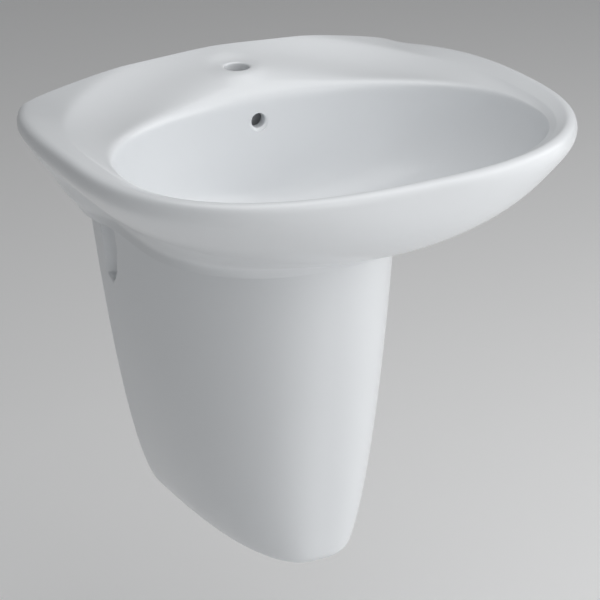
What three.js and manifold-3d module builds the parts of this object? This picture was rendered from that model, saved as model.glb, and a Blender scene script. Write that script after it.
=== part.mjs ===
// Wall-hung washbasin on a semi-pedestal, with its waste, bottle trap and wall fixings.
// Millimetres, +Z up. The wall is the plane y = 0, the basin reaches towards -Y,
// and z = 0 is the level of the side and front rim.
import * as THREE from 'three';
import { mergeVertices } from 'three/addons/utils/BufferGeometryUtils.js';
import Module from 'manifold-3d';

const wasm = await Module();
wasm.setup();

// ---------------------------------------------------------------- driving dimensions
const HALF_WIDTH = 300.5;        // basin, at its widest
const PROJECTION = 490.5;        // wall to front of rim
const WIDEST_AT = -237.5;        // y of the widest line
const RIM_ROUND = 2.55;          // superellipse exponent of the rim outline
const RIM_BEHIND = 129.5;        // the outline closes here, behind the wall plane
const CORNER_HALF = 256.5;       // the wall cuts the outline into two sharp corners
const ARCH_TOP = 16.2;           // back edge of the deck, at its middle
const CORNER_LEVEL = -18.7;      // back edge of the deck, at its corners
const ARCH_ROUND = 2.3;
const ARCH_REACH = 250;          // how far the arch is felt in front of the wall
const INNER_DROP = 5;            // the rim falls this much towards the bowl
const BOWL_EDGE = -11;           // level of the bowl's upper edge
const DISH_HOLLOW = 4;           // soap dishes beside the tap are this much hollowed

const WASTE_Y = -205;
const WASTE_SEAT = -149;         // flat seat in the bowl
const WASTE_HOLE = 23;           // radius
const BOSS_BOTTOM = -192;        // underside of the ceramic round the waste
const TAP_Y = -61;
const TAP_PAD = 7;               // level of the flat round the tap hole
const TAP_PAD_RADIUS = 26;
const TAP_HOLE = 15;             // radius
const OVERFLOW_Z = -44;
const OVERFLOW_HOLE = 9;         // radius
const BACK_PLATE = 14;           // ceramic against the wall
const BOWL_WALL = 9.5;           // ceramic under the bowl
const COLLAR_HALF = 174;         // collar over the pedestal
const COLLAR_FRONT = -313;
const COLLAR_BOTTOM = -161;
const COLLAR_WIDEST = -150;      // y of the collar's widest line
const STUD_X = 140;              // wall studs stand 280 mm apart
const STUD_Z = -92;

const PED_TOP = -156;
const PED_BOTTOM = -558.8;
const PED_WALL = 11;
const PED_EDGE = 10;             // rounding of its bottom edge
const PED_HALF_TOP = 168.5;
const PED_HALF_BOTTOM = 72.1;
const PED_DEPTH_TOP = 306;
const PED_DEPTH_BOTTOM = 270.2;
const PED_SCREW_X = 150;
const PED_SCREW_Z = -233;

const GAP = 0.3;                 // between pieces that touch
const AROUND = 64;               // points round a basin section
const SLIVER = 0.01;             // points closer than this are one point

// ---------------------------------------------------------------- materials
const paint = (color, roughness, metalness = 0) =>
  new THREE.MeshStandardMaterial({ color, roughness, metalness });
const GLAZE = paint(0xe9ebec, 0.12);
const CHROME = paint(0xc9ccd0, 0.12, 1);
const BRASS = paint(0xb59a5a, 0.35, 1);
const STEEL = paint(0xa9abad, 0.35, 1);
const RUBBER = paint(0x1d1d1e, 0.8);
const PLASTIC = paint(0xf1f1ef, 0.4);

// ---------------------------------------------------------------- solids
const toSolid = geometry => {
  const bare = geometry.clone();
  bare.deleteAttribute('normal');
  bare.deleteAttribute('uv');
  const merged = mergeVertices(bare, 1e-4);
  const vertProperties = new Float32Array(merged.attributes.position.array);
  const triVerts = new Uint32Array(merged.index.array);
  return new wasm.Manifold(new wasm.Mesh({ numProp: 3, vertProperties, triVerts }));
};

// The cut solid as a mesh, without the slivers that booleans leave where two surfaces just miss.
const toGeometry = solid => {
  const mesh = solid.getMesh();
  const raw = new THREE.BufferGeometry();
  raw.setAttribute('position', new THREE.BufferAttribute(mesh.vertProperties, 3));
  raw.setIndex(new THREE.BufferAttribute(mesh.triVerts, 1));
  const geometry = mergeVertices(raw, SLIVER);
  const [...corners] = geometry.index.array;
  const kept = [];
  for (let i = 0; i < corners.length; i += 3) {
    const [a, b, c] = corners.slice(i, i + 3);
    if (a !== b && b !== c && c !== a) kept.push(a, b, c);
  }
  geometry.setIndex(kept);
  return geometry;
};

const box = (x0, x1, y0, y1, z0, z1) =>
  toSolid(new THREE.BoxGeometry(x1 - x0, y1 - y0, z1 - z0)
    .translate((x0 + x1) / 2, (y0 + y1) / 2, (z0 + z1) / 2));

// A solid of revolution about Z. The profile lists [radius, z] from the bottom up.
const turned = (profile, sides = 28) =>
  new THREE.LatheGeometry(profile.map(([r, z]) => new THREE.Vector2(r, z)), sides).rotateX(Math.PI / 2);

const rod = (radius, z0, z1, sides = 28) =>
  turned([[0, z0], [radius, z0], [radius, z1], [0, z1]], sides);

const ring = (inner, outer, z0, z1, sides = 28) =>
  turned([[inner, z0], [outer, z0], [outer, z1], [inner, z1], [inner, z0]], sides);

// A hexagonal nut with a round hole, standing on z0.
const hexNut = (acrossFlats, hole, z0, z1, sides = 24) => {
  const shape = new THREE.Shape();
  const corner = acrossFlats / Math.sqrt(3);
  for (let i = 0; i < 6; i++) {
    const angle = i * Math.PI / 3;
    const move = i === 0 ? 'moveTo' : 'lineTo';
    shape[move](corner * Math.cos(angle), corner * Math.sin(angle));
  }
  shape.closePath();
  const inner = new THREE.Path();
  inner.absarc(0, 0, hole, 0, 2 * Math.PI, true);
  shape.holes.push(inner);
  const settings = { depth: z1 - z0, bevelEnabled: false, curveSegments: sides };
  return new THREE.ExtrudeGeometry(shape, settings).translate(0, 0, z0);
};

// Turns a piece made along Z so that its +Z end points to the wall (+Y).
const toWall = geometry => geometry.rotateX(-Math.PI / 2);

// ---------------------------------------------------------------- lofts
// A closed skin through rings of equal length, from a point on top to a point below.
const loft = (rings, first, last) => {
  const count = rings[0].length;
  const points = [first, ...rings.flat(), last];
  const at = (k, j) => 1 + k * count + j % count;
  const index = [];
  for (let j = 0; j < count; j++) {
    index.push(0, at(0, j), at(0, j + 1));
    for (let k = 0; k + 1 < rings.length; k++) {
      index.push(at(k, j), at(k + 1, j), at(k + 1, j + 1));
      index.push(at(k, j), at(k + 1, j + 1), at(k, j + 1));
    }
    index.push(at(rings.length - 1, j), points.length - 1, at(rings.length - 1, j + 1));
  }
  const geometry = new THREE.BufferGeometry();
  geometry.setAttribute('position', new THREE.Float32BufferAttribute(points.flat(), 3));
  geometry.setIndex(index);
  return geometry;
};

// A superellipse in plan, with its own depth and roundness in front and behind.
const section = ({ half, front, back, mid, round, roundBack = round }, level, count = AROUND) => {
  const points = [];
  for (let j = 0; j < count; j++) {
    const angle = 2 * Math.PI * j / count;
    const c = Math.cos(angle);
    const s = Math.sin(angle);
    const n = s < 0 ? round : roundBack;
    const reach = (Math.abs(c) ** n + Math.abs(s) ** n) ** (-1 / n);
    const x = half * reach * c;
    const y = mid + (s < 0 ? mid - front : back - mid) * reach * s;
    points.push([x, y, typeof level === 'number' ? level : level(x, y)]);
  }
  return points;
};

// The knots of a cubic B-spline through the control rings: every edge comes out rounded.
const smoothRings = rings => rings.map((here, k) => {
  const before = rings[Math.max(k - 1, 0)];
  const after = rings[Math.min(k + 1, rings.length - 1)];
  return here.map((point, j) => point.map((v, i) => (before[j][i] + 4 * v + after[j][i]) / 6));
});

const mixRings = (one, other, share) =>
  one.map((point, j) => point.map((v, i) => v + (other[j][i] - v) * share));

// Rises smoothly from 0 to 1 as v goes from one value to another, either way round.
const step = (from, to, v) => THREE.MathUtils.smoothstep((v - from) / (to - from), 0, 1);

// ---------------------------------------------------------------- basin surface
const wallArch = x =>
  ARCH_TOP + (CORNER_LEVEL - ARCH_TOP) * Math.min(1, Math.abs(x) / CORNER_HALF) ** ARCH_ROUND;

const nearWall = y => THREE.MathUtils.clamp(1 + y / ARCH_REACH, 0, 1) ** 2;

const rimLevel = (x, y) => wallArch(x) * nearWall(y);

const outline = (inset, drop, fade = 1) => section({
  half: HALF_WIDTH - inset, front: inset - PROJECTION, back: RIM_BEHIND - inset,
  mid: WIDEST_AT, round: RIM_ROUND,
}, (x, y) => rimLevel(x, y) * fade - drop);

// Bowl, from the waste seat up: half width, front, back, middle, roundness, level.
const bowlRings = (grow = 0, sink = 0) => [
  [18, WASTE_Y - 18, WASTE_Y + 18, WASTE_Y, 2, WASTE_SEAT],
  [30, WASTE_Y - 30, WASTE_Y + 30, WASTE_Y, 2, WASTE_SEAT],
  [42, WASTE_Y - 42, WASTE_Y + 42, WASTE_Y, 2, WASTE_SEAT],
  [84, -273, -146, -211, 2.05, -144],
  [146, -335, -134, -229, 2.15, -130],
  [196, -392, -127, -252, 2.2, -102],
  [226, -430, -121, -275, 2.25, -71],
  [241, -448, -117, -290, 2.25, -48],
  [250, -457, -115, -297, 2.25, -29],
].map(([half, front, back, mid, round, level]) => section({
  half: half + grow, front: front - grow, back: back + grow, mid, round,
}, level - sink));

const bowlEdge = () => section(
  { half: 255, front: -463, back: -113, mid: -300, round: 2.3, roundBack: 2.2 }, BOWL_EDGE);

const rimInside = () => section(
  { half: 270, front: -469, back: 14, mid: -249, round: 2.68, roundBack: 2.5 },
  (x, y) => rimLevel(x, y) - INNER_DROP * (1 - nearWall(y)));

// Level of the deck, share of the way from the rim's inner edge to the bowl's edge at x, y:
// a platform for the tap in the middle, a hollow on both sides of it, a bevel round the front.
const deckLevel = (share, x, y, from, to) => {
  const behindTap = Math.max(0, share / 0.89 - 0.12);
  const platform = 0.22 * (1 - (1 - behindTap) ** 6) + 0.78 * share ** 6;
  const atBack = step(-230, -150, y);
  const dish = 1 - (1 - share) ** (1.2 + 1.8 * atBack);
  const aside = THREE.MathUtils.lerp(1, step(-20, 200, Math.abs(x)), atBack);
  const fall = THREE.MathUtils.lerp(platform, dish, aside);
  return from + (to - from) * fall - DISH_HOLLOW * 4 * share * (1 - share) * aside * atBack;
};

const deckRing = (edge, inside, share) => inside.map(([x1, y1, z1], j) => {
  const [x2, y2, z2] = edge[j];
  return [x1 + (x2 - x1) * share, y1 + (y2 - y1) * share, deckLevel(share, x2, y2, z1, z2)];
});

// Half width of the ceramic where it meets the wall: it narrows down to two short feet.
const wallHalf = z => 255 - 52 * step(-25, -150, z) - 22 * step(-125, -165, z);

// A section that widens towards the wall, so that it ends on the ceramic's outline there.
const meetWall = (shape, level) => {
  const reach = Math.abs(shape.mid) / (shape.back - shape.mid);
  const free = shape.half * (1 - reach ** shape.roundBack) ** (1 / shape.roundBack);
  const widen = wallHalf(level) / free - 1;
  return section(shape, level).map(([x, y, z]) => [x * (1 + widen * step(-95, -15, y)), y, z]);
};

// From the rim down to the collar the widest line moves back and the back grows squarer.
const backShape = level => {
  const share = step(-66, -146, level);
  return {
    back: RIM_BEHIND,
    mid: THREE.MathUtils.lerp(WIDEST_AT, COLLAR_WIDEST, share),
    roundBack: THREE.MathUtils.lerp(RIM_ROUND, 4, share),
  };
};

const apronRings = () => [-42, -60, -78, -94, -106].map(level => {
  const down = (-level - 8) / 150;
  return meetWall({
    half: HALF_WIDTH - 187 * down ** 1.58, front: -PROJECTION + 288.5 * down ** 3.41,
    round: RIM_ROUND - 0.95 * down, ...backShape(level),
  }, level);
});

const collarRings = () => {
  const foot = [COLLAR_HALF, COLLAR_FRONT, COLLAR_BOTTOM];
  const steps = [[194, -394, -119], [181, -350, -136], [175, -321, -146], [COLLAR_HALF, COLLAR_FRONT, -151]];
  return [...steps, foot, foot, foot].map(([half, front, level]) =>
    meetWall({ half, front, round: 2.25, ...backShape(level) }, level));
};

const basinSkin = () => {
  const edge = bowlEdge();
  const inside = rimInside();
  const crest = outline(11, 0);
  const rings = smoothRings([
    ...bowlRings(),
    edge,
    ...[0.82, 0.6, 0.35, 0.12].map(share => deckRing(edge, inside, share)),
    inside,
    mixRings(inside, crest, 0.25),
    mixRings(inside, crest, 0.7),
    crest,
    outline(6, 0.8),
    outline(2, 3.5),
    outline(0, 10),
    outline(0.5, 23, 0.7),
    ...apronRings(),
    ...collarRings(),
  ]);
  return loft(rings, [0, WASTE_Y, WASTE_SEAT], [0, -120, COLLAR_BOTTOM]);
};

// ---------------------------------------------------------------- basin
const pedestalHalf = z => {
  const up = Math.max(0, (z - PED_BOTTOM) / (-163 - PED_BOTTOM));
  return PED_HALF_BOTTOM + (PED_HALF_TOP - PED_HALF_BOTTOM) * up ** 0.51;
};

// The pedestal's section, grown all round, and drawn in at the bottom edge.
const pedestalSection = (grow, z) => {
  const up = (z - PED_BOTTOM) / (-163 - PED_BOTTOM);
  const below = Math.max(0, 1 - (z - PED_BOTTOM) / PED_EDGE);
  const out = grow - PED_EDGE * (1 - Math.sqrt(Math.max(0, 1 - below ** 2)));
  const depth = PED_DEPTH_BOTTOM + (PED_DEPTH_TOP - PED_DEPTH_BOTTOM) * up;
  return section({
    half: pedestalHalf(z) + out, front: -depth - out, back: 60, mid: 0,
    round: 2.86 - 0.64 * up, roundBack: 30,
  }, z, 56);
};

const pedestalBody = (grow, levels) => {
  const rings = levels.map(z => pedestalSection(grow, z)).reverse();
  return toSolid(loft(rings, [0, -100, levels[levels.length - 1]], [0, -100, levels[0]]));
};

// Space below the bowl and behind it, open downwards.
const underSpace = () => {
  const plan = { half: 161, front: -300, back: -BACK_PLATE, mid: -120, round: 2.3, roundBack: 9 };
  const ceiling = -46;
  const floor = COLLAR_BOTTOM - 10;
  const ends = [section(plan, ceiling), section(plan, floor)];
  const space = toSolid(loft(ends, [0, -120, ceiling], [0, -120, floor]));
  const top = section({ half: 264, front: -470, back: -103, mid: -297, round: 2.3 }, -20);
  const rings = smoothRings([...bowlRings(BOWL_WALL, BOWL_WALL + 1), top]).reverse();
  const shell = toSolid(loft(rings, [0, -249, -20], [0, WASTE_Y, WASTE_SEAT - BOWL_WALL - 1]));
  const duct = box(-38, 38, -125, -82, COLLAR_BOTTOM - 20, -40);
  const behind = box(-159, 159, -75, -BACK_PLATE, floor, ceiling);
  const underTap = box(-50, 50, -88, -BACK_PLATE, -60, -10);
  return space.subtract(shell).add(behind).add(underTap).subtract(duct);
};

// Ceramic round the waste hole and the overflow's way down to it.
const wasteBoss = () => toSolid(rod(35, BOSS_BOTTOM, WASTE_SEAT - 4).translate(0, WASTE_Y, 0))
  .add(box(-30, 30, WASTE_Y, -82, BOSS_BOTTOM, -158))
  .add(box(-38, 38, -112, -82, BOSS_BOTTOM, -150));

const overflowWay = () => toSolid(toWall(rod(OVERFLOW_HOLE, -40, 0, 24)).translate(0, -95, OVERFLOW_Z))
  .add(box(-28, 28, -105, -92, -182, -34))
  .add(box(-20, 20, WASTE_Y, -94, -182, -168));

const basin = () => {
  const tapPad = toSolid(rod(TAP_PAD_RADIUS, -12, TAP_PAD).translate(0, TAP_Y, 0));
  const abovePad = toSolid(rod(TAP_PAD_RADIUS, TAP_PAD, 40).translate(0, TAP_Y, 0));
  let body = toSolid(basinSkin())
    .subtract(box(-400, 400, 0, 300, -300, 100))
    .add(tapPad)
    .subtract(abovePad)
    .subtract(underSpace())
    .add(wasteBoss())
    .subtract(overflowWay())
    .subtract(toSolid(rod(WASTE_HOLE, -250, WASTE_SEAT + 30).translate(0, WASTE_Y, 0)))
    .subtract(toSolid(rod(TAP_HOLE, -40, 40).translate(0, TAP_Y, 0)))
    .subtract(pedestalBody(1, [-200, -180, PED_TOP + 1]));
  for (const side of [-1, 1]) {
    body = body.subtract(toSolid(toWall(rod(7, -60, 60, 24)).translate(side * STUD_X, 0, STUD_Z)));
  }
  return toGeometry(body);
};

// ---------------------------------------------------------------- semi-pedestal
// Scoop in the side wall that leads a screwdriver to the fixing screw.
const scoop = (side, grow) => {
  const rings = [[3, -42, 19, -140], [4, -41, 17, -200], [3, -36, 14, -226], [1, -33, 10, -238]];
  const circles = rings.map(([out, y, radius, z]) => section({
    half: radius + grow, front: y - radius - grow, back: y + radius + grow, mid: y, round: 2,
  }, z, 28).map(([x, v, w]) => [x + side * (pedestalHalf(z) + out), v, w]));
  const end = -243 - grow;
  return toSolid(loft(circles, [side * pedestalHalf(-140), -42, -140], [side * pedestalHalf(end), -33, end]));
};

const semiPedestal = () => {
  const rises = [0, 0.002, 0.006, 0.013, 0.026, 0.06, 0.12, 0.2, 0.31, 0.45, 0.6, 0.76, 0.89, 1];
  const levels = rises.map(up => PED_BOTTOM + up * (PED_TOP - PED_BOTTOM));
  const floor = PED_BOTTOM + PED_WALL;
  const room = rises.filter((up, k) => k !== 1 && k !== 2).map(up => floor + up * (PED_TOP + 20 - floor));
  const outer = pedestalBody(0, levels);
  let body = outer.subtract(pedestalBody(-PED_WALL, room));
  for (const side of [-1, 1]) {
    const x = side * PED_SCREW_X;
    const lug = box(x - 12, x + 12, -34, 0, PED_SCREW_Z - 12, PED_SCREW_Z + 12);
    body = body.add(scoop(side, 8).add(lug).intersect(outer))
      .subtract(scoop(side, 0))
      .subtract(toSolid(toWall(rod(4.5, -40, -12, 24)).translate(x, 0, PED_SCREW_Z)))
      .subtract(toSolid(toWall(rod(2.8, -20, 20, 20)).translate(x, 0, PED_SCREW_Z)));
  }
  return toGeometry(body.subtract(box(-400, 400, 0, 300, -700, 100)));
};

// ---------------------------------------------------------------- waste
const TUBE = 20.9;               // outer radius of the waste's threaded tube
const TUBE_BORE = 18;
const TUBE_END = -239;
const HUB = -196;                // top of the hub that guides the plug's stem

const wasteBody = () => {
  const seat = WASTE_SEAT + 2;
  const profile = [
    [TUBE_BORE, TUBE_END], [TUBE, TUBE_END], [TUBE, seat], [32, seat], [31, seat + 2.2],
    [21, seat + 3], [TUBE_BORE, seat + 1], [TUBE_BORE, TUBE_END],
  ];
  const bar = box(-19, 19, -3, 3, HUB - 8, HUB - 2);
  return toGeometry(toSolid(turned(profile))
    .add(bar)
    .add(toSolid(rod(8, HUB - 10, HUB)))
    .subtract(toSolid(rod(3.4, HUB - 20, HUB + 5, 24)))
    .subtract(box(-8, 8, 10, 30, -182, -168)));
};

const PLUG_TOP = -134;           // the open plug stands above the seat
const plugProfile = [
  [0, PLUG_TOP - 9], [12.7, PLUG_TOP - 9], [12.7, PLUG_TOP - 6], [15, PLUG_TOP - 6], [16.8, PLUG_TOP - 4.5],
  [16.8, PLUG_TOP - 2.5], [15, PLUG_TOP - 1.2], [8, PLUG_TOP - 0.3], [0, PLUG_TOP],
];
const stemProfile = [
  [0, HUB - 22], [3, HUB - 22], [3, PLUG_TOP - 14], [14, PLUG_TOP - 11.3], [14, PLUG_TOP - 9.3],
  [0, PLUG_TOP - 9.3],
];

const addWaste = () => {
  const below = BOSS_BOTTOM - GAP;
  const parts = [
    ['waste_body', wasteBody(), CHROME],
    ['waste_top_seal', ring(24, 30.5, WASTE_SEAT + GAP, WASTE_SEAT + 1.7), RUBBER],
    ['waste_plug', turned(plugProfile), CHROME],
    ['plug_seal', ring(13, 17.5, PLUG_TOP - 9, PLUG_TOP - 6.3), RUBBER],
    ['plug_stem', turned(stemProfile, 24), BRASS],
    ['click_cartridge', ring(3.4, 9, HUB + GAP, HUB + 18, 28), PLASTIC],
    ['waste_lower_seal', turned([[21.3, below - 5], [31, below - 5], [29, below], [21.3, below],
      [21.3, below - 5]]), RUBBER],
    ['waste_washer', ring(21.3, 31.5, below - 7.3, below - 5.3), PLASTIC],
    ['waste_backnut', hexNut(58, 21.3, below - 17, below - 7.6), BRASS],
  ];
  for (const [name, geometry, material] of parts) add(name, geometry, material, 0, WASTE_Y, 0);
};

// ---------------------------------------------------------------- bottle trap
const PIPE = 16;                 // outer radius of the trap's pipes
const PIPE_BORE = 14.4;
const OUTLET_Z = -308;
const BODY_END = -345;           // lower end of the trap's body, where the cup screws on
const NECK_TOP = -270;

const inletNut = () => toGeometry(toSolid(hexNut(52, PIPE + 0.4, TUBE_END - 11, TUBE_END + 13))
  .subtract(toSolid(rod(TUBE + GAP, TUBE_END - 5.6, TUBE_END + 30))));

const inletTube = () => {
  const top = TUBE_END - 2.9;
  return turned([[PIPE_BORE, -330], [PIPE, -330], [PIPE, top - 2.4], [20.7, top - 2.4], [20.7, top],
    [PIPE_BORE, top], [PIPE_BORE, -330]], 24);
};

const glandNut = () => toGeometry(toSolid(hexNut(48, PIPE + 0.4, NECK_TOP - 10, NECK_TOP + 10))
  .subtract(toSolid(rod(20.4, NECK_TOP - 30, NECK_TOP + 5.5))));

const trapBody = () => {
  const profile = [[26, BODY_END], [27, BODY_END], [27, BODY_END + 11], [29, BODY_END + 13], [29, -293],
    [20, -286], [20, NECK_TOP], [PIPE + 0.4, NECK_TOP], [PIPE + 0.4, -288], [26, -295], [26, BODY_END]];
  const spigot = toWall(rod(20, 20, 50, 24)).translate(0, 0, OUTLET_Z);
  const socket = toWall(rod(PIPE + 0.5, 30, 60, 24)).translate(0, 0, OUTLET_Z);
  const bore = toWall(rod(14, 10, 60, 24)).translate(0, 0, OUTLET_Z);
  const hollow = rod(26, BODY_END - 5, -297);
  return toGeometry(toSolid(turned(profile)).add(toSolid(spigot).subtract(toSolid(hollow)))
    .subtract(toSolid(bore)).subtract(toSolid(socket)));
};

const cupProfile = [
  [0, -388], [21, -388], [26, -384], [27.5, -358], [31, -355], [31, -336], [27.4, -336], [27.4, -348],
  [24, -348], [24, -382], [20, -384.5], [0, -384.5],
];

const outletNut = () => toGeometry(toSolid(hexNut(46, PIPE + 0.4, 36, 60))
  .subtract(toSolid(rod(20.4, 20, 55))));

const rosetteProfile = [[PIPE + 0.6, -10], [PIPE + 3, -10], [37, -2], [37, 0], [PIPE + 0.6, 0],
  [PIPE + 0.6, -10]];

const addTrap = () => {
  const upright = [
    ['trap_inlet_nut', inletNut(), CHROME],
    ['trap_inlet_seal', ring(PIPE + 0.3, 20.7, TUBE_END - 2.6, TUBE_END - GAP), RUBBER],
    ['trap_inlet_tube', inletTube(), CHROME],
    ['trap_gland_nut', glandNut(), CHROME],
    ['trap_gland_seal', ring(PIPE + 0.3, 19.8, NECK_TOP + GAP, NECK_TOP + 5), RUBBER],
    ['trap_body', trapBody(), CHROME],
    ['trap_cup', turned(cupProfile), CHROME],
    ['trap_cup_seal', ring(24.3, 27, BODY_END - 2.7, BODY_END - GAP), RUBBER],
  ];
  for (const [name, geometry, material] of upright) add(name, geometry, material, 0, WASTE_Y, 0);
  add('trap_outlet_nut', toWall(outletNut()), CHROME, 0, WASTE_Y, OUTLET_Z);
  add('trap_outlet_seal', toWall(ring(PIPE + 0.3, 19.8, 50 + GAP, 54.6, 24)), RUBBER, 0, WASTE_Y, OUTLET_Z);
  add('outlet_pipe', toWall(ring(PIPE_BORE, PIPE, WASTE_Y + 33, -GAP, 24)), CHROME, 0, 0, OUTLET_Z);
  add('wall_rosette', toWall(turned(rosetteProfile)), CHROME, 0, 0, OUTLET_Z);
};

// ---------------------------------------------------------------- wall fixings
const bushProfile = [[5.3, -16.5], [13, -16.5], [13, -14.3], [6.7, -14.3], [6.7, -0.6], [5.3, -0.6],
  [5.3, -16.5]];
const screwProfile = [[0, -16.5], [3, -16.5], [4.2, -15], [4.2, -13.4], [2.4, -13.4], [2.4, -0.6], [0, -0.6]];

const addFixings = (hand, side) => {
  const stud = [
    ['wall_stud', rod(5, -40, -0.6, 24), STEEL],
    ['wall_bush', turned(bushProfile, 28), PLASTIC],
    ['wall_washer', ring(5.3, 12, -18.9, -16.8, 28), STEEL],
    ['wall_nut', hexNut(17, 5.3, -27.2, -19.2, 24), STEEL],
  ];
  for (const [name, geometry, material] of stud) {
    add(`${hand}_${name}`, toWall(geometry), material, side * STUD_X, 0, STUD_Z);
  }
  const screw = [
    ['pedestal_screw', turned(screwProfile, 24), STEEL],
    ['pedestal_washer', ring(2.7, 4.2, -13.1, -12.3, 24), PLASTIC],
  ];
  for (const [name, geometry, material] of screw) {
    add(`${hand}_${name}`, toWall(geometry), material, side * PED_SCREW_X, 0, PED_SCREW_Z);
  }
};

// ---------------------------------------------------------------- assembly
const group = new THREE.Group();

const add = (name, geometry, material, x = 0, y = 0, z = 0) => {
  const mesh = new THREE.Mesh(geometry, material);
  mesh.name = name;
  mesh.position.set(x, y, z);
  group.add(mesh);
};

add('basin', basin(), GLAZE);
add('semi_pedestal', semiPedestal(), GLAZE);
addWaste();
addTrap();
addFixings('left', -1);
addFixings('right', 1);

export default group;
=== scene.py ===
# Looks for a wall-hung glazed washbasin on a semi-pedestal, with its waste, trap and fixings.
# Everything is in metres in the CAD frame: wall plane y = 0, rim level z = 0, +Z up.
import math

import bmesh
import bpy
import numpy as np
from mathutils import Euler, Matrix, Vector


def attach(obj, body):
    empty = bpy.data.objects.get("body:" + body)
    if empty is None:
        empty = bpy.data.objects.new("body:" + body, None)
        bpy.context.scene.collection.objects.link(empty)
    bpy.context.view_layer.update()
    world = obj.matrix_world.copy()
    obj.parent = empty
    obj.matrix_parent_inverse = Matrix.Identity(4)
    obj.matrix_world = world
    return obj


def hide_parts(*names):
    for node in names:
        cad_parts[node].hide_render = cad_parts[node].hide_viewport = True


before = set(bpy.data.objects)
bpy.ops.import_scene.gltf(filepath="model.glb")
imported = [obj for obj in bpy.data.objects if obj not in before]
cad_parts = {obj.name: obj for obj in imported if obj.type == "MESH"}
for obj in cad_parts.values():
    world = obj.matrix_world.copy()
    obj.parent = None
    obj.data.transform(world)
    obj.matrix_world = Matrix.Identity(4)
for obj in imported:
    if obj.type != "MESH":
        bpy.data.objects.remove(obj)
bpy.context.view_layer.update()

MM = 0.001

# ---------------------------------------------------------------- driving dimensions, mm
HALF_WIDTH = 300.5        # basin, at its widest
PROJECTION = 490.5        # wall to front of rim
WIDEST_AT = -237.5        # y of the widest line
RIM_ROUND = 2.55          # superellipse exponent of the rim outline
RIM_BEHIND = 129.5        # the outline closes here, behind the wall plane
CORNER_HALF = 256.5       # the wall cuts the outline into two sharp corners
ARCH_TOP = 16.2           # back edge of the deck, at its middle
CORNER_LEVEL = -18.7      # back edge of the deck, at its corners
ARCH_ROUND = 2.3
ARCH_REACH = 250.0        # how far the arch is felt in front of the wall
INNER_DROP = 5.0          # the rim falls this much towards the bowl
BOWL_EDGE = -11.0         # level of the bowl's upper edge
DISH_HOLLOW = 4.0         # soap dishes beside the tap are this much hollowed

WASTE_Y = -205.0
WASTE_SEAT = -149.0       # flat seat in the bowl
WASTE_HOLE = 23.0         # radius
BOSS_BOTTOM = -192.0      # the waste's lower seal lies against this level
TAP_Y = -61.0
TAP_PAD = 7.0             # level of the flat round the tap hole
TAP_HOLE = 15.0           # radius
OVERFLOW_Y = -116.5       # mouth of the overflow, in the back of the bowl
OVERFLOW_Z = -44.0
OVERFLOW_HOLE = 9.0       # radius
BACK_PLATE = 14.0         # ceramic against the wall
BOWL_WALL = 9.5           # ceramic under the bowl
COLLAR_HALF = 174.0       # collar over the pedestal
COLLAR_FRONT = -313.0
COLLAR_BOTTOM = -161.0
COLLAR_WIDEST = -150.0    # y of the collar's widest line
STUD_X = 140.0
STUD_Z = -92.0

PED_TOP = -156.0
PED_BOTTOM = -558.8
PED_KNEE = -163.0         # level at which the pedestal's top sizes hold
PED_WALL = 11.0
PED_EDGE = 10.0
PED_HALF_TOP = 168.5
PED_HALF_BOTTOM = 72.1
PED_DEPTH_TOP = 306.0
PED_DEPTH_BOTTOM = 270.2
PED_SCREW_X = 150.0
PED_SCREW_Z = -233.0

AROUND = 320              # points round a fine section
BETWEEN = 5               # fine rings for each control ring


# ---------------------------------------------------------------- mesh helpers
def new_object(name, mesh):
    made = bpy.data.objects.new(name, mesh)
    bpy.context.scene.collection.objects.link(made)
    return made


def loft(name, rings, first, last):
    """A closed skin through rings of equal length, from a point on top to a point below, in mm."""
    count = len(rings[0])
    points = np.vstack([[first], np.concatenate(rings), [last]]) * MM
    near = np.arange(count)
    far = (near + 1) % count
    faces = [(0, 1 + a, 1 + b) for a, b in zip(near, far)]
    for k in range(len(rings) - 1):
        here, below = 1 + k * count, 1 + (k + 1) * count
        faces += [(here + a, below + a, below + b, here + b) for a, b in zip(near, far)]
    foot = 1 + (len(rings) - 1) * count
    faces += [(foot + a, len(points) - 1, foot + b) for a, b in zip(near, far)]
    mesh = bpy.data.meshes.new(name)
    mesh.from_pydata(points.tolist(), [], faces)
    mesh.update()
    return new_object(name, mesh)


def box(x0, x1, y0, y1, z0, z1):
    """A plain block for cutting with, in mm."""
    rings = [np.array([(x1, y1, z), (x0, y1, z), (x0, y0, z), (x1, y0, z)], float) for z in (z1, z0)]
    middle = ((x0 + x1) / 2, (y0 + y1) / 2)
    return loft("cutter", rings, (*middle, z1), (*middle, z0))


def turned(name, profile, sides=96):
    """A solid of revolution about Z from [radius, z] pairs, bottom to top round the outside, in mm."""
    angle = 2 * np.pi * np.arange(sides) / sides
    rings = [np.stack([r * np.cos(angle), r * np.sin(angle), np.full(sides, float(z))], -1)
             for r, z in profile]
    near = np.arange(sides)
    far = (near + 1) % sides
    faces = [(k * sides + a, k * sides + b, (k + 1) * sides + b, (k + 1) * sides + a)
             for k in range(len(rings) - 1) for a, b in zip(near, far)]
    mesh = bpy.data.meshes.new(name)
    mesh.from_pydata((np.concatenate(rings) * MM).tolist(), [], faces)
    shape = bmesh.new()
    shape.from_mesh(mesh)
    bmesh.ops.remove_doubles(shape, verts=shape.verts, dist=1e-7)
    bmesh.ops.dissolve_degenerate(shape, edges=shape.edges, dist=1e-7)
    shape.to_mesh(mesh)
    shape.free()
    return new_object(name, mesh)


def rod(name, radius, z0, z1, sides=96):
    return turned(name, [(0, z0), (radius, z0), (radius, z1), (0, z1)], sides)


def ring(name, inner, outer, z0, z1):
    return turned(name, [(inner, z0), (outer, z0), (outer, z1), (inner, z1), (inner, z0)])


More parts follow.
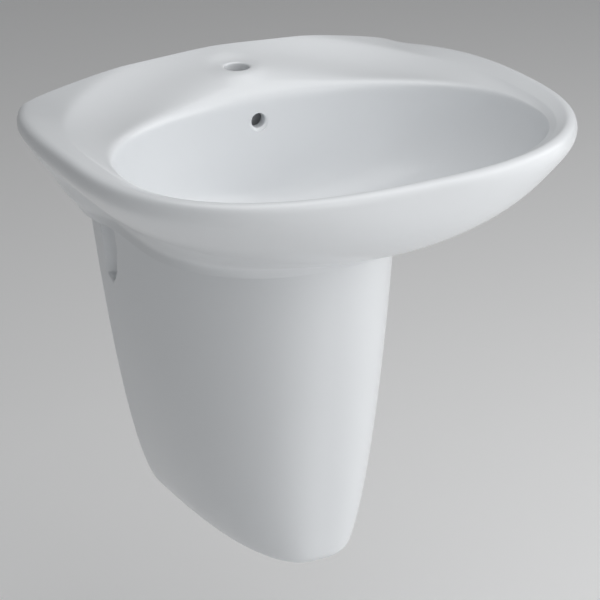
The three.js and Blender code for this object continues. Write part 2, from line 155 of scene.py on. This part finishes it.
def place(piece, x=0.0, y=0.0, z=0.0, turn=None):
    """Turns and moves a piece's own vertices, in mm, so its object stays at the origin."""
    move = Matrix.Translation(Vector((x, y, z)) * MM)
    piece.data.transform(move @ (turn.to_matrix().to_4x4() if turn else Matrix.Identity(4)))
    return piece


TO_WALL = Euler((-math.pi / 2, 0, 0))


def settle(piece):
    """Applies what the piece's modifiers do to its mesh."""
    graph = bpy.context.evaluated_depsgraph_get()
    done = bpy.data.meshes.new_from_object(piece.evaluated_get(graph))
    piece.modifiers.clear()
    piece.data = done
    return piece


def combine(piece, other, operation):
    """Joins the other closed piece to this one, or cuts it away, and drops the other."""
    step = piece.modifiers.new("combine", "BOOLEAN")
    step.operation = operation
    step.solver = "MANIFOLD"
    step.object = other
    settle(piece)
    bpy.data.objects.remove(other)
    return piece


def cut(piece, *others):
    for other in others:
        combine(piece, other, "DIFFERENCE")
    return piece


def join(piece, *others):
    for other in others:
        combine(piece, other, "UNION")
    return piece


def shade(piece, angle=32.0):
    piece.data.shade_smooth()
    piece.data.set_sharp_from_angle(angle=math.radians(angle))
    return piece


# ---------------------------------------------------------------- sections
def rise(start, end, value):
    """Goes smoothly from 0 to 1 as value goes from start to end."""
    share = np.clip((value - start) / (end - start), 0, 1)
    return share * share * (3 - 2 * share)


def section(half, front, back, mid, round_front, round_back=None, level=0.0, count=AROUND):
    """A superellipse in plan, with its own depth and roundness in front and behind."""
    angle = 2 * np.pi * np.arange(count) / count
    c, s = np.cos(angle), np.sin(angle)
    n = np.where(s < 0, round_front, round_back or round_front)
    reach = (np.abs(c) ** n + np.abs(s) ** n) ** (-1 / n)
    x = half * reach * c
    y = mid + np.where(s < 0, mid - front, back - mid) * reach * s
    z = level(x, y) if callable(level) else np.full(count, float(level))
    return np.stack([x, y, z], -1)


def flow(rings, between=BETWEEN):
    """Rings along a cubic B-spline whose control rings are given, so that every edge is rounded."""
    control = [rings[0], *rings, rings[-1]]
    made = []
    for k in range(1, len(control) - 2):
        for t in np.arange(between) / between:
            weights = ((1 - t) ** 3, 3 * t**3 - 6 * t**2 + 4, -3 * t**3 + 3 * t**2 + 3 * t + 1, t**3)
            made.append(sum(w * ring for w, ring in zip(weights, control[k - 1:k + 3])) / 6)
    made.append((control[-3] + 4 * control[-2] + control[-1]) / 6)
    return made


# ---------------------------------------------------------------- basin surface
def wall_arch(x):
    share = np.minimum(1, np.abs(x) / CORNER_HALF) ** ARCH_ROUND
    return ARCH_TOP + (CORNER_LEVEL - ARCH_TOP) * share


def near_wall(y):
    return np.clip(1 + y / ARCH_REACH, 0, 1) ** 2


def rim_level(x, y):
    return wall_arch(x) * near_wall(y)


def outline(inset, drop, fade=1.0):
    return section(HALF_WIDTH - inset, inset - PROJECTION, RIM_BEHIND - inset, WIDEST_AT, RIM_ROUND,
                   level=lambda x, y: rim_level(x, y) * fade - drop)


# Bowl, from the waste seat up: half width, front, back, middle, roundness, level.
BOWL = [
    (18, WASTE_Y - 18, WASTE_Y + 18, WASTE_Y, 2, WASTE_SEAT),
    (30, WASTE_Y - 30, WASTE_Y + 30, WASTE_Y, 2, WASTE_SEAT),
    (42, WASTE_Y - 42, WASTE_Y + 42, WASTE_Y, 2, WASTE_SEAT),
    (84, -273, -146, -211, 2.05, -144),
    (146, -335, -134, -229, 2.15, -130),
    (196, -392, -127, -252, 2.2, -102),
    (226, -430, -121, -275, 2.25, -71),
    (241, -448, -117, -290, 2.25, -48),
    (250, -457, -115, -297, 2.25, -29),
]


def bowl_rings(grow=0.0, sink=0.0):
    return [section(half + grow, front - grow, back + grow, mid, n, n, level - sink)
            for half, front, back, mid, n, level in BOWL]


def bowl_edge():
    return section(255, -463, -113, -300, 2.3, 2.2, BOWL_EDGE)


def rim_inside():
    return section(270, -469, 14, -249, 2.68, 2.5,
                   lambda x, y: rim_level(x, y) - INNER_DROP * (1 - near_wall(y)))


def deck_level(share, x, y, start, end):
    """Level of the deck, share of the way from the rim's inner edge to the bowl's edge at x, y:
    a platform for the tap in the middle, a hollow on both sides of it, a bevel round the front."""
    behind_tap = max(0.0, share / 0.89 - 0.12)
    platform = 0.22 * (1 - (1 - behind_tap) ** 6) + 0.78 * share**6
    at_back = rise(-230, -150, y)
    dish = 1 - (1 - share) ** (1.2 + 1.8 * at_back)
    aside = 1 + (rise(-20, 200, np.abs(x)) - 1) * at_back
    fall = platform + (dish - platform) * aside
    return start + (end - start) * fall - DISH_HOLLOW * 4 * share * (1 - share) * aside * at_back


def deck_ring(edge, inside, share):
    made = inside + (edge - inside) * share
    made[:, 2] = deck_level(share, edge[:, 0], edge[:, 1], inside[:, 2], edge[:, 2])
    return made


def wall_half(z):
    """Half width of the ceramic where it meets the wall: it narrows down to two short feet."""
    return 255 - 52 * rise(-25, -150, z) - 22 * rise(-125, -165, z)


def meet_wall(half, front, back, mid, round_front, round_back, level):
    """A section that widens towards the wall, so that it ends on the ceramic's outline there."""
    reach = abs(mid) / (back - mid)
    free = half * (1 - reach**round_back) ** (1 / round_back)
    made = section(half, front, back, mid, round_front, round_back, level)
    made[:, 0] *= 1 + (wall_half(level) / free - 1) * rise(-95, -15, made[:, 1])
    return made


def back_shape(level):
    """From the rim down to the collar the widest line moves back and the back grows squarer."""
    share = rise(-66, -146, level)
    return dict(back=RIM_BEHIND, mid=WIDEST_AT + (COLLAR_WIDEST - WIDEST_AT) * share,
                round_back=RIM_ROUND + (4 - RIM_ROUND) * share, level=level)


def apron_rings():
    made = []
    for level in (-42, -60, -78, -94, -106):
        down = (-level - 8) / 150
        made.append(meet_wall(half=HALF_WIDTH - 187 * down**1.58, front=-PROJECTION + 288.5 * down**3.41,
                              round_front=RIM_ROUND - 0.95 * down, **back_shape(level)))
    return made


def collar_rings():
    foot = (COLLAR_HALF, COLLAR_FRONT, COLLAR_BOTTOM)
    steps = [(194, -394, -119), (181, -350, -136), (175, -321, -146), (COLLAR_HALF, COLLAR_FRONT, -151)]
    return [meet_wall(half=half, front=front, round_front=2.25, **back_shape(level))
            for half, front, level in (*steps, foot, foot, foot)]


def flatten_pad(rings):
    """Makes the deck flat and level round the tap hole."""
    for ring in rings:
        away = np.hypot(ring[:, 0], ring[:, 1] - TAP_Y)
        flat = (1 - rise(20, 40, away)) * (ring[:, 2] > -20)
        ring[:, 2] += (TAP_PAD - ring[:, 2]) * flat
    return rings


def basin_skin():
    edge, inside, crest = bowl_edge(), rim_inside(), outline(11, 0)
    deck = [deck_ring(edge, inside, share) for share in (0.82, 0.6, 0.35, 0.12)]
    control = [*bowl_rings(), edge, *deck,
               inside, 0.75 * inside + 0.25 * crest, 0.3 * inside + 0.7 * crest, crest, outline(6, 0.8),
               outline(2, 3.5), outline(0, 10), outline(0.5, 23, 0.7),
               *apron_rings(), *collar_rings()]
    rings = flatten_pad(flow(control))
    return loft("washbasin", rings, (0, WASTE_Y, WASTE_SEAT), (0, -120, COLLAR_BOTTOM))


# ---------------------------------------------------------------- semi-pedestal surface
def pedestal_half(z):
    up = np.maximum(0, (z - PED_BOTTOM) / (PED_KNEE - PED_BOTTOM))
    return PED_HALF_BOTTOM + (PED_HALF_TOP - PED_HALF_BOTTOM) * up**0.51


def pedestal_section(grow, z, count=AROUND):
    up = (z - PED_BOTTOM) / (PED_KNEE - PED_BOTTOM)
    below = max(0.0, 1 - (z - PED_BOTTOM) / PED_EDGE)
    out = grow - PED_EDGE * (1 - math.sqrt(max(0.0, 1 - below**2)))
    depth = PED_DEPTH_BOTTOM + (PED_DEPTH_TOP - PED_DEPTH_BOTTOM) * up
    return section(pedestal_half(z) + out, -depth - out, 60, 0, 2.86 - 0.64 * up, 30, z, count)


def pedestal_body(grow, levels, count=AROUND):
    rings = [pedestal_section(grow, z, count) for z in levels][::-1]
    return loft("cutter", rings, (0, -100, levels[-1]), (0, -100, levels[0]))


def scooped(ring, grow=0.0):
    """Presses into a section the upright scoop that leads a screwdriver to each fixing screw."""
    z = ring[0, 2]
    levels = (-252, -243, -238, -226, -200, -140)
    radius = np.interp(z, levels, (0, 5, 10, 14, 17, 19)) + grow
    out = np.interp(z, levels, (6, 2, 1, 3, 4, 3))
    middle = np.interp(z, levels, (-33, -33, -33, -36, -41, -42))
    across = radius**2 - (ring[:, 1] - middle) ** 2
    depth = np.sqrt(np.maximum(across, 0)) - out
    soft = 1.5
    beside = np.abs(ring[:, 1] - middle) / max(radius, 1)
    depth = 0.5 * (depth + np.sqrt(depth**2 + soft**2)) * rise(1.35, 1.0, beside)
    made = ring.copy()
    made[:, 0] -= np.sign(ring[:, 0]) * depth * (np.abs(ring[:, 0]) > 60)
    return made


# ---------------------------------------------------------------- basin
def under_space():
    """The space below the bowl and behind it, open downwards."""
    ceiling, floor = -46, COLLAR_BOTTOM - 10
    plan = dict(half=161, front=-300, back=-BACK_PLATE, mid=-120, round_front=2.3, round_back=9)
    space = loft("cutter", [section(level=z, **plan) for z in (ceiling, floor)],
                 (0, -120, ceiling), (0, -120, floor))
    top = section(264, -470, -103, -297, 2.3, level=-20)
    bowl = flow([*bowl_rings(BOWL_WALL, BOWL_WALL + 1), top])[::-1]
    shell = loft("cutter", bowl, (0, -249, -20), (0, WASTE_Y, WASTE_SEAT - BOWL_WALL - 1))
    cut(space, shell)
    behind = box(-159, 159, -75, -BACK_PLATE, floor, ceiling)
    under_tap = box(-50, 50, -88, -BACK_PLATE, -60, -10)
    join(space, behind, under_tap)
    return cut(space, box(-38, 38, -125, -82, COLLAR_BOTTOM - 20, -40))


def lipped_hole(radius, lip, above, depth):
    """A cutter for a round hole along -Z whose mouth, at z = 0, is rounded over by lip."""
    steps = np.radians(np.linspace(90, 20, 8))
    mouth = [(radius + lip * (1 - math.sin(a)), -lip * (1 - math.cos(a))) for a in steps]
    wide = mouth[-1][0]
    return turned("cutter", [(0, -depth), (radius, -depth), *mouth, (wide + lip, lip * 0.4),
                             (wide + 3 * lip, above), (0, above)])


def washbasin():
    """The basin with its holes. The last cut clears the whole space inside the pedestal's outline,
    so it also takes away the boss round the waste and the lower end of the overflow's duct."""
    piece = basin_skin()
    cut(piece, box(-400, 400, 0, 300, -300, 100), under_space())
    join(piece, place(rod("boss", 35, BOSS_BOTTOM, WASTE_SEAT - 4), y=WASTE_Y),
         box(-30, 30, WASTE_Y, -82, BOSS_BOTTOM, -158), box(-38, 38, -112, -82, BOSS_BOTTOM, -150))
    cut(piece,
        box(-28, 28, -105, -92, -182, -34),
        box(-20, 20, WASTE_Y, -94, -182, -168),
        place(rod("cutter", WASTE_HOLE, -250, WASTE_SEAT + 30), y=WASTE_Y),
        place(lipped_hole(TAP_HOLE, 2.5, 20, 60), y=TAP_Y, z=TAP_PAD),
        place(lipped_hole(OVERFLOW_HOLE, 2, 15, 20), y=OVERFLOW_Y, z=OVERFLOW_Z,
              turn=Euler((math.pi / 2, 0, 0))),
        pedestal_body(1, [-200, -180, PED_TOP + 1]))
    for side in (-1, 1):
        cut(piece, place(rod("cutter", 7, -60, 60), side * STUD_X, 0, STUD_Z, TO_WALL))
    return bare_at_wall(shade(piece))


# ---------------------------------------------------------------- semi-pedestal
def semi_pedestal():
    """An open-backed shell with a rounded foot, scoops in its sides and lugs for its screws."""
    height = PED_TOP - PED_BOTTOM
    foot = PED_BOTTOM + PED_EDGE * (1 - np.cos(np.linspace(0, np.pi / 2, 12)))
    levels = [*foot, *np.linspace(foot[-1], PED_TOP, 130)[1:]]
    rings = [scooped(pedestal_section(0, z, 960)) for z in levels][::-1]
    piece = loft("pedestal", rings, (0, -100, PED_TOP), (0, -100, PED_BOTTOM))
    floor = PED_BOTTOM + PED_WALL
    rises = np.array([0, 0.006, 0.013, 0.026, 0.05, 0.1, 0.2, 0.35, 0.5, 0.7, 0.85, 1])
    room = floor + rises * (height + 20)
    inner = [scooped(pedestal_section(-PED_WALL, z, 960), 6) for z in room][::-1]
    cut(piece, loft("cutter", inner, (0, -100, room[-1]), (0, -100, room[0])))
    for side in (-1, 1):
        x = side * PED_SCREW_X
        lug = box(x - side * 12 - 6, x - side * 12 + 6, -34, 0, PED_SCREW_Z - 12, PED_SCREW_Z + 12)
        join(piece, lug, box(x - 8, x + 8, -22, 0, PED_SCREW_Z - 12, PED_SCREW_Z + 12))
        cut(piece, place(rod("cutter", 4.5, -24, -12), x, 0, PED_SCREW_Z, TO_WALL),
            place(rod("cutter", 2.8, -20, 20), x, 0, PED_SCREW_Z, TO_WALL))
    cut(piece, box(-400, 400, 0, 300, -700, 100))
    return bare_at_wall(shade(piece))


def bare_at_wall(piece):
    """Faces that lie on the wall keep their raw clay: they take the piece's second material."""
    for face in piece.data.polygons:
        face.material_index = int(face.normal.y > 0.99 and face.center.y > -0.5 * MM)
    return piece


# ---------------------------------------------------------------- materials
def material(name, color, roughness, metallic=0.0, grain=400.0, relief=0.02, spread=0.05, coat=0.0):
    """A plain finish whose roughness and surface vary a little at the size of its grain."""
    made = bpy.data.materials.new(name)
    made.use_nodes = True
    nodes, links = made.node_tree.nodes, made.node_tree.links
    shader = nodes["Principled BSDF"]
    shader.inputs["Base Color"].default_value = (*color, 1)
    shader.inputs["Metallic"].default_value = metallic
    shader.inputs["Coat Weight"].default_value = coat
    shader.inputs["Coat Roughness"].default_value = 0.15
    place_node = nodes.new("ShaderNodeTexCoord")
    noise = nodes.new("ShaderNodeTexNoise")
    noise.inputs["Scale"].default_value = grain
    noise.inputs["Detail"].default_value = 3
    vary = nodes.new("ShaderNodeMapRange")
    vary.inputs["To Min"].default_value = roughness - spread
    vary.inputs["To Max"].default_value = roughness + spread
    bump = nodes.new("ShaderNodeBump")
    bump.inputs["Strength"].default_value = relief
    bump.inputs["Distance"].default_value = 0.0005
    links.new(place_node.outputs["Object"], noise.inputs["Vector"])
    links.new(noise.outputs["Fac"], vary.inputs["Value"])
    links.new(noise.outputs["Fac"], bump.inputs["Height"])
    links.new(vary.outputs["Result"], shader.inputs["Roughness"])
    links.new(bump.outputs["Normal"], shader.inputs["Normal"])
    return made


FINISH = {
    "glaze": material("white glaze", (0.80, 0.82, 0.84), 0.32, grain=60, relief=0.03, coat=0.35),
    "chrome": material("chrome plate", (0.72, 0.73, 0.75), 0.10, 1.0, grain=90, spread=0.03),
    "brass": material("turned brass", (0.62, 0.47, 0.20), 0.30, 1.0, grain=700, relief=0.08),
    "zinc": material("zinc-plated steel", (0.55, 0.56, 0.57), 0.34, 1.0, grain=900, relief=0.08),
    "rubber": material("black rubber", (0.02, 0.02, 0.021), 0.72, grain=1500, relief=0.12),
    "plastic": material("white nylon", (0.78, 0.78, 0.75), 0.42, grain=1200, relief=0.05),
}
RAW_CLAY = material("raw fired clay", (0.72, 0.70, 0.66), 0.86, grain=900, relief=0.35)


def show(piece, node, slot, body="root", bevel=0.0):
    """Lets a piece stand for a CAD node, in that node's finish and on that node's body."""
    piece.name = node + "_fine"
    piece.data.materials.clear()
    piece.data.materials.append(FINISH[slot])
    if slot == "glaze":
        piece.data.materials.append(RAW_CLAY)
    if bevel:
        edge = piece.modifiers.new("soft edges", "BEVEL")
        edge.width = bevel * MM
        edge.segments = 2
        edge.limit_method = "ANGLE"
        edge.angle_limit = math.radians(35)
        shade(piece)
    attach(piece, body)
    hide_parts(node)
    return piece


# ---------------------------------------------------------------- hardware
def hex_nut(across_flats, hole, z0, z1):
    """A hexagonal nut whose corners are chamfered at both ends."""
    corner = across_flats / math.sqrt(3)
    fall = (corner - across_flats / 2) * 0.6
    piece = rod("nut", corner, z0, z1, 6)
    round_off = turned("cutter", [(0, z0), (across_flats / 2, z0), (corner + 0.1, z0 + fall),
                                  (corner + 0.1, z1 - fall), (across_flats / 2, z1), (0, z1)])
    combine(piece, round_off, "INTERSECT")
    return cut(piece, rod("cutter", hole, z0 - 5, z1 + 5))


def flute(piece, z0, z1, depth, count):
    """Presses upright grip flutes into the outside of a turned piece between two levels."""
    for vertex in piece.data.vertices:
        x, y, z = vertex.co / MM
        if z0 < z < z1 and math.hypot(x, y) > 29:
            share = 1 - depth / 31 * (0.5 - 0.5 * math.cos(count * math.atan2(y, x)))
            vertex.co.x *= share
            vertex.co.y *= share
    return piece


# ---------------------------------------------------------------- waste
TUBE = 20.9               # outer radius of the waste's threaded tube
TUBE_BORE = 18.0
TUBE_END = -239.0
HUB = -196.0              # top of the hub that guides the plug's stem
PLUG_TOP = -134.0         # the open plug stands above the seat
GAP = 0.3


def thread(profile_top, profile_end, radius, pitch):
    """The zigzag outside of a threaded length, from its lower to its upper end."""
    turns = int((profile_top - profile_end) / pitch)
    made = []
    for k in range(turns):
        z = profile_end + k * pitch
        made += [(radius - 0.8, z), (radius - 0.8, z + 0.25 * pitch), (radius, z + 0.5 * pitch),
                 (radius, z + 0.75 * pitch)]
    return made


def waste_body():
    seat = WASTE_SEAT + 2
    outside = [*thread(-165, TUBE_END + 0.5, TUBE, 1.8), (TUBE, -165)]
    piece = turned("waste", [(TUBE_BORE, TUBE_END), (TUBE - 0.8, TUBE_END), *outside, (TUBE, seat), (32, seat),
                             (31.6, seat + 1.4), (30.4, seat + 2.3), (21, seat + 3), (19, seat + 2.4),
                             (TUBE_BORE, seat + 1), (TUBE_BORE, TUBE_END)], 128)
    join(piece, box(-19, 19, -3, 3, HUB - 8, HUB - 2), rod("hub", 8, HUB - 10, HUB))
    return cut(piece, rod("cutter", 3.4, HUB - 20, HUB + 5), box(-8, 8, 10, 30, -182, -168))


def plug():
    top = PLUG_TOP
    return turned("plug", [(0, top - 9), (12.7, top - 9), (12.7, top - 6), (15, top - 6), (16.2, top - 5.6),
                           (16.8, top - 4.6), (16.8, top - 2.6), (16.3, top - 1.8), (15, top - 1.2),
                           (11.5, top - 0.7), (8, top - 0.3), (4, top - 0.08), (0, top)])


def add_waste():
    below = BOSS_BOTTOM - GAP
    stem = [(0, HUB - 22), (3, HUB - 22), (3, PLUG_TOP - 14), (14, PLUG_TOP - 11.3), (14, PLUG_TOP - 9.3),
            (0, PLUG_TOP - 9.3)]
    lower_seal = [(21.3, below - 5), (31, below - 5), (29, below), (21.3, below), (21.3, below - 5)]
    pieces = [
        (waste_body(), "waste_body", "chrome", "root", 0.0),
        (ring("seal", 24, 30.5, WASTE_SEAT + GAP, WASTE_SEAT + 1.7), "waste_top_seal", "rubber", "root", 0.3),
        (plug(), "waste_plug", "chrome", "plug", 0.0),
        (ring("seal", 13, 17.5, PLUG_TOP - 9, PLUG_TOP - 6.3), "plug_seal", "rubber", "plug", 0.5),
        (turned("stem", stem), "plug_stem", "brass", "plug", 0.3),
        (ring("cartridge", 3.4, 9, HUB + GAP, HUB + 18), "click_cartridge", "plastic", "root", 0.5),
        (turned("seal", lower_seal), "waste_lower_seal", "rubber", "root", 0.5),
        (ring("washer", 21.3, 31.5, below - 7.3, below - 5.3), "waste_washer", "plastic", "root", 0.3),
        (hex_nut(58, 21.3, below - 17, below - 7.6), "waste_backnut", "brass", "root", 0.4),
    ]
    for piece, node, slot, body, bevel in pieces:
        show(place(piece, y=WASTE_Y), node, slot, body, bevel)


# ---------------------------------------------------------------- bottle trap
PIPE = 16.0               # outer radius of the trap's pipes
PIPE_BORE = 14.4
OUTLET_Z = -308.0
BODY_END = -345.0         # lower end of the trap's body, where the cup screws on
NECK_TOP = -270.0


def inlet_tube():
    top = TUBE_END - 2.9
    return turned("tube", [(PIPE_BORE, -330), (PIPE, -330), (PIPE, top - 2.4), (20.7, top - 2.4), (20.7, top),
                           (PIPE_BORE, top), (PIPE_BORE, -330)])


def trap_body():
    corner = [(20 + 9 * math.sin(a), -295 + 9 * math.cos(a)) for a in np.radians(np.linspace(90, 0, 10))]
    outside = [(27, BODY_END), (27, BODY_END + 11), (29, BODY_END + 13), *corner]
    piece = turned("body", [(26, BODY_END), *outside, (20, NECK_TOP), (PIPE + 0.4, NECK_TOP),
                            (PIPE + 0.4, -288), (26, -297), (26, BODY_END)], 128)
    spigot = place(rod("spigot", 20, 20, 50), z=OUTLET_Z, turn=TO_WALL)
    cut(spigot, rod("cutter", 26, BODY_END - 5, -297))
    join(piece, spigot)
    return cut(piece, place(rod("cutter", 14, 10, 60), z=OUTLET_Z, turn=TO_WALL),
               place(rod("cutter", PIPE + 0.5, 30, 60), z=OUTLET_Z, turn=TO_WALL))


def trap_cup():
    rows = [(31, -355 + 19 * k / 12) for k in range(13)]
    piece = turned("cup", [(0, -388), (19, -388), (22.5, -387.4), (25, -385.6), (26, -383), (27.5, -360),
                           (28.6, -356.8), (30.4, -355.4), *rows, (27.4, -336), (27.4, -348), (24, -348),
                           (24, -382), (20, -384.5), (0, -384.5)], 192)
    return flute(piece, -354.9, -336.1, 0.9, 24)


def add_trap():
    inlet_nut = cut(hex_nut(52, PIPE + 0.4, TUBE_END - 11, TUBE_END + 13),
                    rod("cutter", TUBE + GAP, TUBE_END - 5.6, TUBE_END + 30))
    gland_nut = cut(hex_nut(48, PIPE + 0.4, NECK_TOP - 10, NECK_TOP + 10),
                    rod("cutter", 20.4, NECK_TOP - 30, NECK_TOP + 5.5))
    inlet_seal = ring("seal", PIPE + 0.3, 20.7, TUBE_END - 2.6, TUBE_END - GAP)
    gland_seal = ring("seal", PIPE + 0.3, 19.8, NECK_TOP + GAP, NECK_TOP + 5)
    cup_seal = ring("seal", 24.3, 27, BODY_END - 2.7, BODY_END - GAP)
    upright = [
        (inlet_nut, "trap_inlet_nut", "chrome", "root", 0.4),
        (inlet_seal, "trap_inlet_seal", "rubber", "root", 0.3),
        (inlet_tube(), "trap_inlet_tube", "chrome", "root", 0.3),
        (gland_nut, "trap_gland_nut", "chrome", "root", 0.4),
        (gland_seal, "trap_gland_seal", "rubber", "root", 0.3),
        (trap_body(), "trap_body", "chrome", "root", 0.0),
        (trap_cup(), "trap_cup", "chrome", "cup", 0.0),
        (cup_seal, "trap_cup_seal", "rubber", "cup_carrier", 0.3),
    ]
    for piece, node, slot, body, bevel in upright:
        show(place(piece, y=WASTE_Y), node, slot, body, bevel)
    outlet_nut = cut(hex_nut(46, PIPE + 0.4, 36, 60), rod("cutter", 20.4, 20, 55))
    outlet_seal = ring("seal", PIPE + 0.3, 19.8, 50 + GAP, 54.6)
    dome = [(PIPE + 3 + 18 * math.sin(a), -2 - 8 * math.cos(a)) for a in np.radians(np.linspace(0, 80, 9))]
    rosette = [(PIPE + 0.6, -10), *dome, (37, -2), (37, 0), (PIPE + 0.6, 0), (PIPE + 0.6, -10)]
    show(place(outlet_nut, 0, WASTE_Y, OUTLET_Z, TO_WALL), "trap_outlet_nut", "chrome", bevel=0.4)
    show(place(outlet_seal, 0, WASTE_Y, OUTLET_Z, TO_WALL), "trap_outlet_seal", "rubber", bevel=0.3)
    pipe = ring("pipe", PIPE_BORE, PIPE, WASTE_Y + 33, -GAP)
    show(place(pipe, 0, 0, OUTLET_Z, TO_WALL), "outlet_pipe", "chrome", bevel=0.3)
    show(place(turned("rosette", rosette), 0, 0, OUTLET_Z, TO_WALL), "wall_rosette", "chrome", bevel=0.2)


# ---------------------------------------------------------------- wall fixings
def add_fixings(hand, side):
    bush = [(5.3, -16.5), (13, -16.5), (13, -14.3), (6.7, -14.3), (6.7, -0.6), (5.3, -0.6), (5.3, -16.5)]
    stud = [(0, -40), (4.2, -40), *thread(-14, -39.4, 5, 1.5), (5, -14), (5, -0.6), (0, -0.6)]
    screw = [(0, -16.5), (3, -16.5), (4.2, -15), (4.2, -13.4), (2.4, -13.4), (2.4, -0.6), (0, -0.6)]
    head = turned("screw", screw)
    for slot_box in (box(-2.6, 2.6, -0.5, 0.5, -18, -14.8), box(-0.5, 0.5, -2.6, 2.6, -18, -14.8)):
        cut(head, slot_box)
    at_stud = [
        (turned("stud", stud), "wall_stud", "zinc", 0.0),
        (turned("bush", bush), "wall_bush", "plastic", 0.4),
        (ring("washer", 5.3, 12, -18.9, -16.8), "wall_washer", "zinc", 0.3),
        (hex_nut(17, 5.3, -27.2, -19.2), "wall_nut", "zinc", 0.3),
    ]
    for piece, node, slot, bevel in at_stud:
        show(place(piece, side * STUD_X, 0, STUD_Z, TO_WALL), f"{hand}_{node}", slot, bevel=bevel)
    at_screw = [
        (head, "pedestal_screw", "zinc", 0.1),
        (ring("washer", 2.7, 4.2, -13.1, -12.3), "pedestal_washer", "plastic", 0.1),
    ]
    for piece, node, slot, bevel in at_screw:
        show(place(piece, side * PED_SCREW_X, 0, PED_SCREW_Z, TO_WALL), f"{hand}_{node}", slot, bevel=bevel)


show(washbasin(), "basin", "glaze")
show(semi_pedestal(), "semi_pedestal", "glaze")
add_waste()
add_trap()
add_fixings("left", -1)
add_fixings("right", 1)


# ---------------------------------------------------------------- camera, light and floor
def aim(thing, target):
    """Turns a light at its own place towards a point."""
    way = Vector(target) - thing.location
    thing.rotation_euler = way.to_track_quat("-Z", "Y").to_euler()
    return thing


def soft_light(name, place_at, target, size, power):
    lamp = bpy.data.lights.new(name, "AREA")
    lamp.shape = "RECTANGLE"
    lamp.size, lamp.size_y = size
    lamp.energy = power
    made = bpy.data.objects.new(name, lamp)
    made.location = place_at
    bpy.context.scene.collection.objects.link(made)
    return aim(made, target)


def add_camera():
    made = bpy.data.objects.new("camera", bpy.data.cameras.new("camera"))
    bpy.context.scene.collection.objects.link(made)
    made.location = (-1.427, -2.847, 1.055)
    yaw, pitch, roll = math.radians(28.48), math.radians(23.33), math.radians(-0.19)
    level = Euler((math.pi / 2 - pitch, 0, -yaw)).to_matrix()
    made.rotation_euler = (level @ Euler((0, 0, roll)).to_matrix()).to_euler()
    made.data.sensor_width = 36
    made.data.lens = 166.6
    bpy.context.scene.camera = made


def add_floor():
    mesh = bpy.data.meshes.new("floor")
    reach, level = 8, -0.85
    corners = [(-reach, -reach, level), (reach, -reach, level), (reach, reach, level), (-reach, reach, level)]
    mesh.from_pydata(corners, [], [(0, 1, 2, 3)])
    mesh.materials.append(material("pale floor", (0.92, 0.92, 0.92), 0.7, grain=20, relief=0.0))
    new_object("floor", mesh)


def add_world(strength):
    world = bpy.data.worlds.new("studio")
    world.use_nodes = True
    sky = world.node_tree.nodes["Background"]
    sky.inputs["Color"].default_value = (0.97, 0.985, 1, 1)
    sky.inputs["Strength"].default_value = strength
    bpy.context.scene.world = world
    bpy.context.scene.view_settings.view_transform = "Standard"


add_camera()
add_floor()
add_world(0.19)
MIDDLE = (0, -0.25, -0.2)
LIGHT_SIZE = (2.8, 2.8)
for lamp_name, lamp_at, watts in (
    ("key", (2.4, -1.2, 1.6), 21),
    ("low right", (2.6, -1.4, 0.2), 29),
    ("right front", (1.2, -2.8, 1.0), 15),
    ("front", (-0.4, -3.2, 1.0), 15),
    ("top", (0, -0.6, 2.3), 30),
):
    soft_light(lamp_name, lamp_at, MIDDLE, LIGHT_SIZE, watts)
